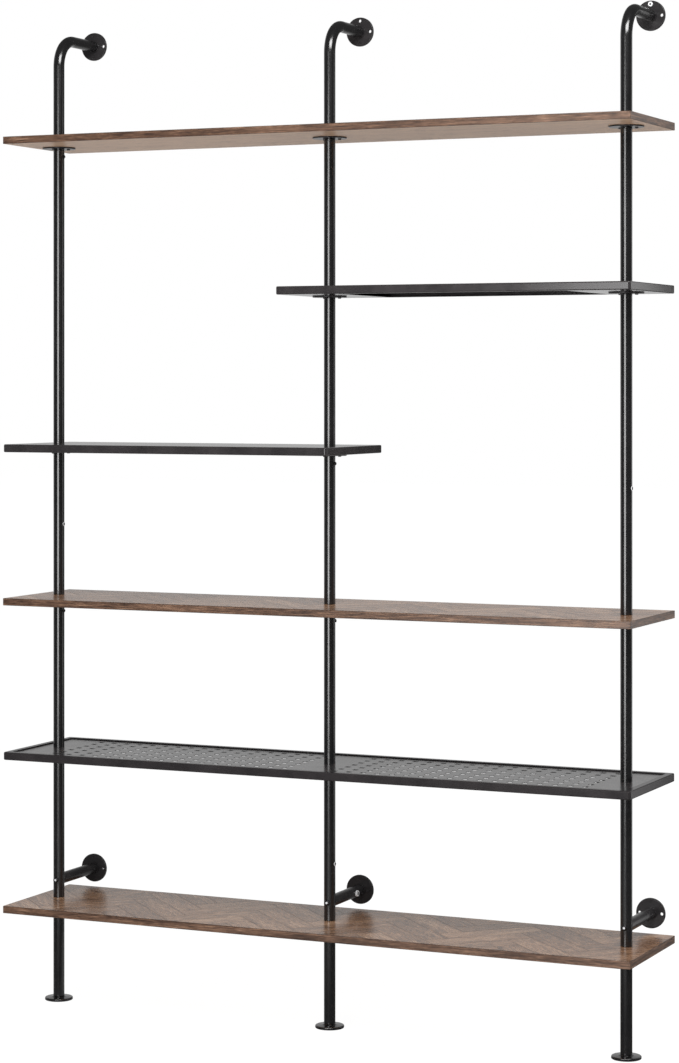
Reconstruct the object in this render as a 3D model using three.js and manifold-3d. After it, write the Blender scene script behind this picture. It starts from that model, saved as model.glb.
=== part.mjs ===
// Wall-mounted pipe shelving unit: three black steel posts, six shelf levels, two bays.
// Millimetres, +Z up, +Y towards the wall. The origin is on the floor, on the axis of the middle post.

import * as THREE from 'three';
import * as BufferGeometryUtils from 'three/addons/utils/BufferGeometryUtils.js';
import Module from 'manifold-3d';

const wasm = await Module();
wasm.setup();

// Overall layout
const postSpacing = 688;
const shelfDepth = 302;
const endOverhang = 59;
const middleOverhang = 61;
const lowestShelfTop = 236.5;
const shelfPitch = 349.4;
const wallDistance = 168;

// Clearances
const seatGap = 0.3;
const slidingFit = 0.4;
const holeClearance = 0.5;
const cutOverrun = 2;
const screwSeating = 0.4;

// Facets of round pieces
const roundSides = 16;
const boreSides = 8;
const screwSides = 6;
const boltSides = 8;
const bendFacets = 8;
const cornerFacets = 3;

// Post tubes
const tubeDiameter = 25.4;
const tubeWall = 1.5;
const bendRadius = 63.5;
const topArmRise = 235;
const lowerArmRise = 41;

// Spare holes in the +X sides of the posts and of the middle lower arm
const sideHoleDiameter = 8;
const leftHoleRise = 163;
const middleHoleRise = 125;
const rightHoleRise = 267;
const armHoleFromWall = 51;

// Sleeve welded into the foot of a tube, which goes down through the shelf into the tube below
const sleeveWall = 2;
const sleeveBelow = 36;
const sleeveAbove = 24;

// Support plates under the shelves
const supportDiameter = 76;
const supportThickness = 3;
const supportScrews = 3;
const supportScrewCircle = 44;
const supportScrewTurn = THREE.MathUtils.degToRad(25);

// Pan-head screws that hold a shelf down on its support plates
const panHeadDiameter = 7.6;
const panHeadHeight = 2.4;
const panShankDiameter = 4;
const woodScrewLength = 15;
const sheetScrewLength = 9;

// Grub screws that lock the sleeves
const grubDiameter = 5;
const grubHeadDiameter = 7;
const grubHeadHeight = 2.6;
const grubDrop = 17;
const wallTurn = THREE.MathUtils.degToRad(90);
const slantTurn = THREE.MathUtils.degToRad(45);

// Wooden shelves
const boardThickness = 16.5;

// Folded steel shelves
const trayHeight = 18;
const trayGauge = 1.5;
const trayReturn = 9;
const trayCorner = 4;
const trayPostZone = 84;

// Perforated sheet and the rim that frames it
const meshGauge = 1.2;
const rimWidth = 15;
const rimLip = 2.4;
const meshHole = 12;
const meshColumnPitch = 33.8;
const meshRowPitch = 35.2;
const meshFromMiddlePost = 60;
const meshFromEndPost = 50;
const meshFromEdge = 45;

// Floor discs
const footDiameter = 64;
const footThickness = 6;
const footRound = 2;
const footCollarDiameter = 31;
const footCollarHeight = 2.5;
const plugHeight = 26;

// Wall flanges
const flangeDiameter = 67;
const flangeThickness = 5;
const flangeRound = 1.6;
const flangeHubDiameter = 31;
const flangeHubHeight = 3;
const flangeHoleDiameter = 7;
const flangeHoleCircle = 50;
const flangeHoles = 4;

// Lower wall arms and the bolts that pull them against the posts
const armPlugLength = 18;
const armSaddleReach = 7;
const boltDiameter = 8;
const boltHeadDiameter = 13;
const boltHeadHeight = 4.2;
const boltHeadFlatShare = 0.45;
const boltBite = 14;

// Sizes that follow from the ones above
const tubeRadius = tubeDiameter / 2;
const boreRadius = tubeRadius - tubeWall;
const sleeveRadius = boreRadius - slidingFit;
const sleeveBoreRadius = sleeveRadius - sleeveWall;
const tubeFlat = tubeRadius * Math.cos(Math.PI / roundSides);
const sleeveFlat = sleeveRadius * Math.cos(Math.PI / boreSides);
const sleeveHoleRadius = sleeveRadius + holeClearance;
const tubeHoleRadius = tubeRadius + holeClearance;
const panShankRadius = panShankDiameter / 2;
const boltRadius = boltDiameter / 2;
const front = -shelfDepth / 2;
const back = shelfDepth / 2;
const shelfEnd = postSpacing + endOverhang;
const flangeFace = wallDistance - flangeThickness - flangeHubHeight;

// Posts, and the shelf levels counted from the floor
const posts = { left: -postSpacing, middle: 0, right: postSpacing };

const shelves = [
  { name: 'bottom_wood_shelf', kind: 'board', level: 1, posts: ['left', 'middle', 'right'] },
  { name: 'perforated_shelf', kind: 'mesh', level: 2, posts: ['left', 'middle', 'right'] },
  { name: 'middle_wood_shelf', kind: 'board', level: 3, posts: ['left', 'middle', 'right'] },
  { name: 'left_steel_shelf', kind: 'tray', level: 4, posts: ['left', 'middle'] },
  { name: 'right_steel_shelf', kind: 'tray', level: 5, posts: ['middle', 'right'] },
  { name: 'top_wood_shelf', kind: 'board', level: 6, posts: ['left', 'middle', 'right'] },
];

for (const shelf of shelves) {
  shelf.top = lowestShelfTop + (shelf.level - 1) * shelfPitch;
  shelf.height = shelf.kind === 'board' ? boardThickness : trayHeight;
  shelf.underside = shelf.top - shelf.height;
  shelf.tubeSeat = shelf.kind === 'board' ? shelf.top : shelf.underside + trayGauge;
  shelf.start = shelf.posts.includes('left') ? -shelfEnd : -middleOverhang;
  shelf.end = shelf.posts.includes('right') ? shelfEnd : middleOverhang;
  shelf.screwLength = shelf.kind === 'board' ? woodScrewLength : sheetScrewLength;
}

// The spare hole of each post, at a height above the shelf under it
const sideHoles = {
  left: { level: 3, rise: leftHoleRise },
  middle: { level: 1, rise: middleHoleRise },
  right: { level: 3, rise: rightHoleRise },
};

// Turn from +X of the grub screw under each shelf; those not listed face the wall
const grubTurns = {
  left: { 3: 0, 6: 0 },
  middle: { 3: slantTurn, 4: 0 },
  right: {},
};

const topArmHeight = shelves.at(-1).top + topArmRise;
const lowerArmHeight = lowestShelfTop + lowerArmRise;

// Finishes
const blackCoat = new THREE.MeshStandardMaterial({ color: 0x1d1d1f, roughness: 0.5, metalness: 0.2 });
const blackSheet = new THREE.MeshStandardMaterial({ color: 0x343335, roughness: 0.45, metalness: 0.2 });
const blackScrew = new THREE.MeshStandardMaterial({ color: 0x111112, roughness: 0.35, metalness: 0.6 });
const walnutBoard = new THREE.MeshStandardMaterial({ color: 0x8d7a6c, roughness: 0.6, metalness: 0 });

const unit = new THREE.Group();

function place(name, geometry, material, x = 0, y = 0, z = 0) {
  const mesh = new THREE.Mesh(geometry, material);
  mesh.name = name;
  mesh.position.set(x, y, z);
  unit.add(mesh);
  return mesh;
}

// Outlines

// Corners of a regular polygon with a flat side towards +X
function ring(radius, sides, x = 0, y = 0) {
  return Array.from({ length: sides }, (_, i) => {
    const angle = ((i + 0.5) * 2 * Math.PI) / sides;
    return new THREE.Vector2(x + radius * Math.cos(angle), y + radius * Math.sin(angle));
  });
}

function rectangle(x0, y0, x1, y1) {
  return [
    new THREE.Vector2(x0, y0),
    new THREE.Vector2(x1, y0),
    new THREE.Vector2(x1, y1),
    new THREE.Vector2(x0, y1),
  ];
}

// Rectangle with rounded corners, each corner a quarter turn in short facets
function roundedRectangle(x0, y0, x1, y1, radius) {
  const centres = [
    [x1 - radius, y0 + radius, -Math.PI / 2],
    [x1 - radius, y1 - radius, 0],
    [x0 + radius, y1 - radius, Math.PI / 2],
    [x0 + radius, y0 + radius, Math.PI],
  ];
  return centres.flatMap(([x, y, start]) =>
    Array.from({ length: cornerFacets + 1 }, (_, i) => {
      const angle = start + (i * Math.PI) / 2 / cornerFacets;
      return new THREE.Vector2(x + radius * Math.cos(angle), y + radius * Math.sin(angle));
    }),
  );
}

// Solids

// A plate or bar with its outline in XY, from z0 up to z1
function prism(outline, holes, z0, z1) {
  const shape = new THREE.Shape(outline);
  shape.holes = holes.map((points) => new THREE.Path(points));
  const geometry = new THREE.ExtrudeGeometry(shape, { depth: z1 - z0, bevelEnabled: false });
  return geometry.translate(0, 0, z0);
}

// A turned piece about Z, its profile written as [radius, z] from the low end to the high one
function turned(profile, sides) {
  const points = profile.map(([radius, z]) => new THREE.Vector2(radius, z));
  const geometry = new THREE.LatheGeometry(points, sides, Math.PI / sides);
  return welded(geometry.rotateX(Math.PI / 2));
}

// The same surface with shared corners merged and its zero-area facets left out
function welded(geometry) {
  const bare = geometry.clone();
  bare.deleteAttribute('normal');
  bare.deleteAttribute('uv');
  const surface = BufferGeometryUtils.mergeVertices(bare);
  const source = surface.index.array;
  const kept = [];
  for (let i = 0; i < source.length; i += 3) {
    const [a, b, c] = [source[i], source[i + 1], source[i + 2]];
    if (a !== b && b !== c && c !== a) kept.push(a, b, c);
  }
  surface.setIndex(kept);
  return surface;
}

function toSolid(geometry) {
  const closed = welded(geometry);
  return new wasm.Manifold(
    new wasm.Mesh({
      numProp: 3,
      vertProperties: new Float32Array(closed.attributes.position.array),
      triVerts: new Uint32Array(closed.index.array),
    }),
  );
}

function toGeometry(solid) {
  const mesh = solid.getMesh();
  const geometry = new THREE.BufferGeometry();
  geometry.setAttribute('position', new THREE.BufferAttribute(new Float32Array(mesh.vertProperties), 3));
  geometry.setIndex(new THREE.BufferAttribute(new Uint32Array(mesh.triVerts), 1));
  return geometry;
}

function cut(geometry, cutters) {
  const removed = wasm.Manifold.union(cutters.map(toSolid));
  return toGeometry(toSolid(geometry).subtract(removed));
}

function join(...pieces) {
  return toGeometry(wasm.Manifold.union(pieces.map(toSolid)));
}

// Turns a piece built along Z so that it runs along +X or +Y
function alongX(geometry) {
  return geometry.rotateY(Math.PI / 2);
}

function alongY(geometry) {
  return geometry.rotateX(-Math.PI / 2);
}

// Post tubes

function straightTube(length) {
  return prism(ring(tubeRadius, roundSides), [ring(boreRadius, boreSides)], 0, length);
}

// Centre line of a top tube: up the post, round the bend and back to the wall flange.
// Its stations are the ends of the straight runs and the facets of the bend.
class TopRun extends THREE.Curve {
  constructor(rise, reach) {
    super();
    this.rise = rise;
    this.reach = reach;
    this.stations = bendFacets + 2;
  }

  turnAt(t) {
    const station = t * this.stations - 1;
    return (THREE.MathUtils.clamp(station, 0, bendFacets) / bendFacets) * (Math.PI / 2);
  }

  getPoint(t) {
    const station = t * this.stations;
    const straight = this.rise - bendRadius;
    if (station < 1) return new THREE.Vector3(0, 0, straight * station);
    const angle = this.turnAt(t);
    const onArm = Math.max(0, station - 1 - bendFacets) * (this.reach - bendRadius);
    const y = bendRadius * (1 - Math.cos(angle)) + onArm;
    return new THREE.Vector3(0, y, straight + bendRadius * Math.sin(angle));
  }

  getTangent(t) {
    const angle = this.turnAt(t);
    return new THREE.Vector3(0, Math.sin(angle), Math.cos(angle));
  }

  getUtoTmapping(u) {
    return u;
  }
}

function topTube(rise, reach) {
  const shape = new THREE.Shape(ring(tubeRadius, roundSides));
  shape.holes = [new THREE.Path(ring(boreRadius, boreSides))];
  const path = new TopRun(rise, reach);
  return new THREE.ExtrudeGeometry(shape, { steps: path.stations, extrudePath: path, bevelEnabled: false });
}

// Sleeve at the foot of a tube: its upper half fills the bore and its lower half hangs out by a length
function sleeve(length) {
  const bore = ring(sleeveBoreRadius, screwSides);
  const grip = prism(ring(boreRadius + tubeWall / 2, boreSides), [bore], 0, sleeveAbove);
  const spigot = prism(ring(sleeveRadius, boreSides), [bore], -length, sleeveAbove / 2);
  return join(grip, spigot);
}

// A grub screw driven in at a turn from +X, its tip just clear of the sleeve that it locks
function grubScrew(z, turn) {
  const radius = grubDiameter / 2;
  const tip = sleeveFlat + seatGap;
  const seat = tubeFlat - screwSeating;
  const end = tubeFlat + grubHeadHeight;
  const screw = turned(
    [
      [0, tip],
      [radius, tip],
      [radius, seat],
      [grubHeadDiameter / 2, seat],
      [grubHeadDiameter / 2, end - screwSeating],
      [radius, end],
      [0, end],
    ],
    screwSides,
  );
  return alongX(screw).rotateZ(turn).translate(0, 0, z);
}

// Hole along Y through both walls for the arm bolt
function boltHole(z) {
  const reach = tubeRadius + cutOverrun;
  const hole = prism(ring(boltRadius + slidingFit, boltSides), [], -reach, reach);
  return alongY(hole).translate(0, 0, z);
}

// Spare hole through the +X wall
function sideHole(z) {
  const hole = prism(ring(sideHoleDiameter / 2, boltSides), [], 0, tubeRadius + cutOverrun);
  return alongX(hole).translate(0, 0, z);
}

// Upper end of the tube that carries the support plate of a shelf
function tubeTop(shelf) {
  return shelf.underside - supportThickness - 2 * seatGap;
}

function addPostTubes(post, x) {
  const carried = shelves.filter((shelf) => shelf.posts.includes(post));
  let start = footThickness + footCollarHeight + seatGap;
  let below = null;
  for (const shelf of carried) {
    const length = tubeTop(shelf) - start;
    const turn = grubTurns[post][shelf.level] ?? wallTurn;
    let tube = join(straightTube(length), grubScrew(length - grubDrop, turn));
    if (below) tube = join(tube, sleeve(sleeveReach(below)));
    if (below === shelves[0]) tube = cut(tube, [boltHole(lowerArmHeight - start)]);
    if (below?.level === sideHoles[post].level) {
      tube = cut(tube, [sideHole(below.top + sideHoles[post].rise - start)]);
    }
    const where = below ? `shelf_${below.level}` : 'floor';
    place(`${post}_tube_above_${where}`, tube, blackCoat, x, 0, start);
    start = shelf.tubeSeat + seatGap;
    below = shelf;
  }
  const bend = topTube(topArmHeight - start, flangeFace - seatGap);
  place(`${post}_top_bend`, join(bend, sleeve(sleeveReach(below))), blackCoat, x, 0, start);
}

// Length of a sleeve from the foot of its tube, through the shelf, into the tube below
function sleeveReach(shelf) {
  return shelf.tubeSeat + seatGap - tubeTop(shelf) + sleeveBelow;
}

// Support plates and the screws that hold the shelf down on them

function supportScrewPlaces() {
  return Array.from({ length: supportScrews }, (_, i) => {
    const angle = supportScrewTurn + (i * 2 * Math.PI) / supportScrews;
    const radius = supportScrewCircle / 2;
    return [radius * Math.cos(angle), radius * Math.sin(angle)];
  });
}

// A pan-head screw that points up, its head bearing on z = 0 from below
function panScrew(length) {
  const headRadius = panHeadDiameter / 2;
  return turned(
    [
      [0, -panHeadHeight],
      [headRadius, -panHeadHeight],
      [headRadius, screwSeating],
      [panShankRadius, screwSeating],
      [0, length],
    ],
    screwSides,
  );
}

// The tapered hole that such a screw makes in what it is driven into
function panScrewHole(length) {
  return turned(
    [
      [0, 0],
      [panShankRadius + slidingFit, 0],
      [panShankRadius + slidingFit, screwSeating],
      [0, length + slidingFit],
    ],
    screwSides,
  );
}

// A round plate bored for the sleeve, with its screws driven through it
function supportPlate(shelf) {
  const bore = ring(sleeveHoleRadius, boreSides);
  const plate = prism(ring(supportDiameter / 2, roundSides), [bore], 0, supportThickness);
  const screws = supportScrewPlaces().map(([x, y]) => panScrew(shelf.screwLength).translate(x, y, 0));
  return join(plate, ...screws);
}

function plateHeight(shelf) {
  return shelf.underside - supportThickness - seatGap;
}

function addSupportPlates() {
  for (const shelf of shelves) {
    for (const post of shelf.posts) {
      const name = `${post}_support_plate_${shelf.level}`;
      place(name, supportPlate(shelf), blackCoat, posts[post], 0, plateHeight(shelf));
    }
  }
}

// Cutters for the screws of a shelf, in the shelf's own frame with its underside at z = 0
function shelfScrewHoles(shelf) {
  const drop = plateHeight(shelf) - shelf.underside;
  return shelf.posts.flatMap((post) =>
    supportScrewPlaces().map(([dx, dy]) => {
      const hole = panScrewHole(shelf.screwLength);
      return hole.translate(posts[post] + dx, dy, drop);
    }),
  );
}

// Shelves

function addBoard(shelf) {
  const bores = shelf.posts.map((post) => ring(sleeveHoleRadius, boreSides, posts[post]));
  const board = prism(rectangle(shelf.start, front, shelf.end, back), bores, 0, shelf.height);
  place(shelf.name, cut(board, shelfScrewHoles(shelf)), walnutBoard, 0, 0, shelf.underside);
}

// Outline of a folded steel shelf, drawn in by an inset on every side
function trayOutline(shelf, inset) {
  const corner = Math.max(trayCorner - inset, trayGauge);
  return roundedRectangle(shelf.start + inset, front + inset, shelf.end - inset, back - inset, corner);
}

// Openings in the underside of a steel shelf, between the closed zones round its posts
function undersideOpenings(shelf) {
  const y = back - trayReturn;
  return shelf.posts.slice(1).map((post, i) => {
    const x0 = posts[shelf.posts[i]] + trayPostZone;
    const x1 = posts[post] - trayPostZone;
    return prism(rectangle(x0, -y, x1, y), [], -cutOverrun, trayGauge + cutOverrun);
  });
}

function trayPostHoles(shelf) {
  return shelf.posts.flatMap((post) => {
    const sleeveHole = ring(sleeveHoleRadius, boreSides, posts[post]);
    const tubeHole = ring(tubeHoleRadius, roundSides, posts[post]);
    return [
      prism(sleeveHole, [], -cutOverrun, trayGauge + cutOverrun),
      prism(tubeHole, [], trayHeight - trayGauge - cutOverrun, trayHeight + cutOverrun),
    ];
  });
}

// A folded steel box, open underneath between its posts
function steelTray(shelf) {
  const skin = prism(trayOutline(shelf, 0), [], 0, trayHeight);
  const inside = prism(trayOutline(shelf, trayGauge), [], trayGauge, trayHeight - trayGauge);
  return [skin, [inside, ...undersideOpenings(shelf), ...shelfScrewHoles(shelf)]];
}

function addTray(shelf) {
  const [skin, cutters] = steelTray(shelf);
  place(shelf.name, cut(skin, [...cutters, ...trayPostHoles(shelf)]), blackSheet, 0, 0, shelf.underside);
}

// Squares of the perforation, one field in each bay
function meshHoles() {
  const reach = postSpacing - meshFromMiddlePost - meshFromEndPost;
  const columns = Math.floor(reach / meshColumnPitch) + 1;
  const rows = Math.floor((shelfDepth - 2 * meshFromEdge) / meshRowPitch) + 1;
  const holes = [];
  const half = meshHole / 2;
  for (const side of [-1, 1]) {
    for (let column = 0; column < columns; column += 1) {
      for (let row = 0; row < rows; row += 1) {
        const x = side * (meshFromMiddlePost + column * meshColumnPitch);
        const y = (row - (rows - 1) / 2) * meshRowPitch;
        const outline = rectangle(x - half, y - half, x + half, y + half);
        holes.push(prism(outline, [], -cutOverrun, meshGauge + cutOverrun));
      }
    }
  }
  return holes;
}

// The inner edge of the rim, turned down round its opening
function rimEdge(shelf) {
  const outline = trayOutline(shelf, rimWidth - trayGauge);
  return prism(outline, [trayOutline(shelf, rimWidth)], trayHeight - rimLip, trayHeight - trayGauge / 2);
}

// The perforated sheet lies under the turned inner edge of a folded rim
function addPerforatedShelf(shelf) {
  const [skin, cutters] = steelTray(shelf);
  const rimOpening = trayOutline(shelf, rimWidth);
  const opening = prism(rimOpening, [], trayHeight - trayGauge - cutOverrun, trayHeight + cutOverrun);
  const sleeveHoles = shelf.posts.map((post) => {
    const hole = ring(sleeveHoleRadius, boreSides, posts[post]);
    return prism(hole, [], -cutOverrun, trayGauge + cutOverrun);
  });
  const rim = join(cut(skin, [...cutters, opening, ...sleeveHoles]), rimEdge(shelf));
  place(`${shelf.name}_rim`, rim, blackSheet, 0, 0, shelf.underside);

  const outline = trayOutline(shelf, trayGauge + seatGap);
  const postHoles = shelf.posts.map((post) => ring(tubeHoleRadius, roundSides, posts[post]));
  const sheet = cut(prism(outline, postHoles, 0, meshGauge), meshHoles());
  const height = shelf.top - rimLip - seatGap - meshGauge;
  place(`${shelf.name}_sheet`, sheet, blackSheet, 0, 0, height);
}

function addShelves() {
  const makers = { board: addBoard, tray: addTray, mesh: addPerforatedShelf };
  for (const shelf of shelves) makers[shelf.kind](shelf);
}

// Floor discs: a round plate with a low collar and a plug that the post tube slides over
function footDisc() {
  const radius = footDiameter / 2;
  const top = footThickness + footCollarHeight;
  const disc = turned(
    [
      [0, 0],
      [radius, 0],
      [radius, footThickness - footRound],
      [radius - footRound, footThickness],
      [footCollarDiameter / 2 + footCollarHeight, footThickness],
      [footCollarDiameter / 2, top],
      [0, top],
    ],
    roundSides,
  );
  const plug = prism(ring(sleeveRadius, boreSides), [], footThickness, top + plugHeight);
  return join(disc, plug);
}

// Wall flanges: the wall face is z = 0 and the hub and plug point into the room
function wallFlange() {
  const radius = flangeDiameter / 2;
  const top = flangeThickness + flangeHubHeight;
  const disc = turned(
    [
      [0, 0],
      [radius, 0],
      [radius, flangeThickness - flangeRound],
      [radius - flangeRound, flangeThickness],
      [flangeHubDiameter / 2, flangeThickness],
      [tubeRadius + flangeRound, top],
      [0, top],
    ],
    roundSides,
  );
  const plug = prism(ring(sleeveRadius, boreSides), [], flangeThickness, top + plugHeight);
  const holes = Array.from({ length: flangeHoles }, (_, i) => {
    const angle = (i * 2 * Math.PI) / flangeHoles;
    const x = (flangeHoleCircle / 2) * Math.cos(angle);
    const y = (flangeHoleCircle / 2) * Math.sin(angle);
    const hole = ring(flangeHoleDiameter / 2, screwSides, x, y);
    return prism(hole, [], -cutOverrun, flangeThickness + cutOverrun);
  });
  return cut(join(disc, plug), holes);
}

// A straight arm, tapped at the post end and open at the flange end
function lowerArm(post) {
  const end = flangeFace - seatGap;
  const bar = prism(ring(tubeRadius, roundSides), [], armSaddleReach, end);
  const boreStart = tubeRadius + armPlugLength;
  const bore = prism(ring(boreRadius, boreSides), [], boreStart, end + cutOverrun);
  const tappedHole = prism(ring(boltRadius + slidingFit, boltSides), [], 0, boreStart + cutOverrun);
  const reach = tubeDiameter;
  const postTube = prism(ring(tubeRadius + seatGap, roundSides), [], -reach, reach);
  const cutters = [alongY(bore), alongY(tappedHole), postTube];
  if (post === 'middle') cutters.push(sideHole(0).translate(0, wallDistance - armHoleFromWall, 0));
  return cut(alongY(bar), cutters);
}

// A button-head bolt that enters the post from the front
function armBolt() {
  const seat = tubeFlat + seatGap;
  const headRadius = boltHeadDiameter / 2;
  const tip = tubeFlat + boltBite;
  const bolt = turned(
    [
      [0, -seat - boltHeadHeight],
      [headRadius * boltHeadFlatShare, -seat - boltHeadHeight],
      [headRadius, -seat - boltHeadHeight * boltHeadFlatShare],
      [headRadius, -seat],
      [boltRadius, -seat],
      [boltRadius, tip],
      [0, tip],
    ],
    boltSides,
  );
  return alongY(bolt);
}

function addAnchors(post, x) {
  place(`${post}_floor_disc`, footDisc(), blackCoat, x, 0, 0);
  place(`${post}_lower_arm`, lowerArm(post), blackCoat, x, 0, lowerArmHeight);
  place(`${post}_lower_arm_bolt`, armBolt(), blackScrew, x, 0, lowerArmHeight);
  for (const [level, z] of [['upper', topArmHeight], ['lower', lowerArmHeight]]) {
    const flange = place(`${post}_${level}_wall_flange`, wallFlange(), blackCoat, x, wallDistance, z);
    flange.rotation.x = Math.PI / 2;
  }
}

for (const [post, x] of Object.entries(posts)) {
  addPostTubes(post, x);
  addAnchors(post, x);
}
addSupportPlates();
addShelves();

export default unit;
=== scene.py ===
# Wall-mounted pipe shelving unit in a white studio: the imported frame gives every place,
# and this script gives each piece its rounded surface and its finish.
# Metres, +Z up, +Y towards the wall. The origin is on the floor, on the axis of the middle post.

import math
from collections import namedtuple

import bmesh
import bpy
from mathutils import Matrix, Vector


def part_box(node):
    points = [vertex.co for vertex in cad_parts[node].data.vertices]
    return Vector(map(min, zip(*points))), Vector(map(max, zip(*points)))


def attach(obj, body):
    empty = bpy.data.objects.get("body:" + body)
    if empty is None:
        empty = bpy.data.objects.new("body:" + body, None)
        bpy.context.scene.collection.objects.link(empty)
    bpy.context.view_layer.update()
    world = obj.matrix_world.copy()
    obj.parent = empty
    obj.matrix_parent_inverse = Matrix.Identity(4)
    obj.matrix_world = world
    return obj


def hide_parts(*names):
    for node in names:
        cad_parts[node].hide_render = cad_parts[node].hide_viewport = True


MM = 0.001

# Post tubes and what joins them
TUBE_RADIUS = 12.7 * MM
TUBE_WALL = 1.5 * MM
TUBE_EDGE = 0.4 * MM
SLEEVE_RADIUS = 10.8 * MM
SLEEVE_WALL = 2 * MM
SLEEVE_GRIP = 12 * MM
SEAT_GAP = 0.3 * MM
BEND_RADIUS = 63.5 * MM
BEND_STEPS = 28

# Grub screws
GRUB_DROP = 17 * MM
SLANT_TURN = math.radians(45)
WALL_TURN = math.radians(90)
GRUB_RADIUS = 3.5 * MM
GRUB_HEIGHT = 2.6 * MM
GRUB_SOCKET = 1.7 * MM

# Side holes and their threaded inserts: radius and height of the head over a post and the arm
SIDE_HOLE_RADIUS = 4 * MM
INSERT_BORE = 3.2 * MM
INSERT_SHOULDER = 0.6
POST_INSERT = (4.5 * MM, 0.9 * MM)
ARM_INSERT = (6.8 * MM, 4.2 * MM)

# Button-head bolts of the lower arms: crown, side and socket floor are shares of the head
BOLT_RADIUS = 6.5 * MM
BOLT_HEIGHT = 4.2 * MM
BOLT_CROWN = 0.62
BOLT_SIDE = 0.25
BOLT_SHANK = 4 * MM
BOLT_SOCKET = 2.9 * MM
BOLT_SOCKET_FLOOR = 0.4

# Support plates
PLATE_RADIUS = 38 * MM
PLATE_THICKNESS = 3 * MM
PLATE_BORE = 11.3 * MM
PLATE_ROUND = 1 * MM
PLATE_SCREWS = 3
PLATE_SCREW_CIRCLE = 22 * MM
PLATE_SCREW_TURN = math.radians(25)

# Pan-head screws of the support plates: crown, side, wall and tip are shares of the head
PAN_RADIUS = 3.8 * MM
PAN_HEIGHT = 2.4 * MM
PAN_CROWN = 0.7
PAN_SIDE = 0.35
PAN_CROSS = 2 * MM
PAN_CROSS_WALL = 0.4
PAN_CROSS_TIP = 0.3

# Cross recesses of all screws
CROSS_WIDTH = 0.5 * MM
CROSS_TAPER = 0.8

# Floor discs
DISC_RADIUS = 32 * MM
DISC_THICKNESS = 6 * MM
DISC_ROUND = 2 * MM
DISC_FOOT_EDGE = 0.8 * MM
DISC_RISE = 0.8 * MM
COLLAR_FOOT = DISC_RISE * 1.6
COLLAR_RADIUS = 15.5 * MM
COLLAR_HEIGHT = 2.5 * MM

# Wall flanges and their screws
FLANGE_THICKNESS = 5 * MM
FLANGE_ROUND = 1.6 * MM
HUB_RADIUS = 14 * MM
HUB_HEIGHT = 3 * MM
FLANGE_HOLE_RADIUS = 3.5 * MM
FLANGE_HOLE_CIRCLE = 25 * MM
COUNTERSINK = 0.9 * MM
SCREW_FIT = 0.3 * MM
SCREW_CROSS = 2.2 * MM
PLATED_HEAD_RADIUS = 5.4 * MM
PLATED_HEAD_HEIGHT = 1.6 * MM
PLATED_SOCKET = 2.6 * MM

# Lower arms
ARM_PLUG = 18 * MM
ARM_HOLE_FROM_WALL = 51 * MM

# Wooden shelves: a plank is one cell wide and some cells long, and the cells are counted from
# far off the board; faces are level or upright by how much their normal rises
BOARD_CORNER = 1 * MM
BOARD_EDGE = 0.7 * MM
PLANK_WIDTH = 56 * MM
PLANK_CELLS = 4
PLANK_SHIFT = 100
LEVEL_FACE = 0.9
UPRIGHT_FACE = 0.1

# Folded steel shelves
SHEET = 1.5 * MM
FOLD_RADIUS = 2.6 * MM
FOLD_INSIDE = 0.5 * MM
FOLD_INSIDE_STEPS = 2
TRAY_CORNER = 6 * MM
TRAY_RETURN = 9 * MM
POST_ZONE = 84 * MM
RIM_WIDTH = 15 * MM
RIM_LIP = 2.4 * MM
OPENING_CORNER = 6 * MM
CUT_EDGE = 0.2 * MM
TUBE_CLEARANCE = 0.5 * MM

# How far a cutter runs past what it cuts, and the share of its corner that a slab keeps
OVERRUN = 2 * MM
CORNER_LEFT = 0.2

# Facets of round pieces
TUBE_SIDES = 64
DISC_SIDES = 96
SCREW_SIDES = 24
HOLE_SIDES = 40
ARC_STEPS = 5
SMOOTH_ANGLE = math.radians(32)

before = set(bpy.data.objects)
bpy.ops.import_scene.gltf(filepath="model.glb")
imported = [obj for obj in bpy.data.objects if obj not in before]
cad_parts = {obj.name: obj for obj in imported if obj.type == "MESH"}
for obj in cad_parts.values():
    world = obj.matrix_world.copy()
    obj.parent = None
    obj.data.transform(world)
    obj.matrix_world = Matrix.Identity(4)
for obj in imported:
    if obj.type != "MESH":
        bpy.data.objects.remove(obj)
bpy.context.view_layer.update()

POSTS = ("left", "middle", "right")
SHELVES = (
    {"name": "bottom_wood_shelf", "kind": "board", "level": 1, "posts": POSTS},
    {"name": "perforated_shelf_rim", "kind": "rim", "level": 2, "posts": POSTS},
    {"name": "middle_wood_shelf", "kind": "board", "level": 3, "posts": POSTS},
    {"name": "left_steel_shelf", "kind": "tray", "level": 4, "posts": POSTS[:2]},
    {"name": "right_steel_shelf", "kind": "tray", "level": 5, "posts": POSTS[1:]},
    {"name": "top_wood_shelf", "kind": "board", "level": 6, "posts": POSTS},
)

# Turn from +X of the grub screw under each shelf; those not listed face the wall
GRUB_TURNS = {"left": {3: 0, 6: 0}, "middle": {3: SLANT_TURN, 4: 0}, "right": {}}

# The spare hole of each post: level of the shelf under it and rise above that shelf
SIDE_HOLES = {"left": (3, 163 * MM), "middle": (1, 125 * MM), "right": (3, 267 * MM)}

# Flange holes in turn from the right, those without a screw, the one with a plated screw,
# and the one whose screw has a bright recess
HOLE_PLACES = ("right", "top", "left", "bottom")
OPEN_HOLES = {
    "left_upper_wall_flange": ("right",),
    "middle_upper_wall_flange": ("right", "top"),
    "right_upper_wall_flange": ("right",),
    "left_lower_wall_flange": (),
    "middle_lower_wall_flange": (),
    "right_lower_wall_flange": ("right", "left"),
}
PLATED_SCREW = ("right_upper_wall_flange", "top")
BRIGHT_RECESS_SCREW = ("left_lower_wall_flange", "right")


# Places read from the frame


def centre_of(node):
    low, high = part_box(node)
    return (low + high) / 2


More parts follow.
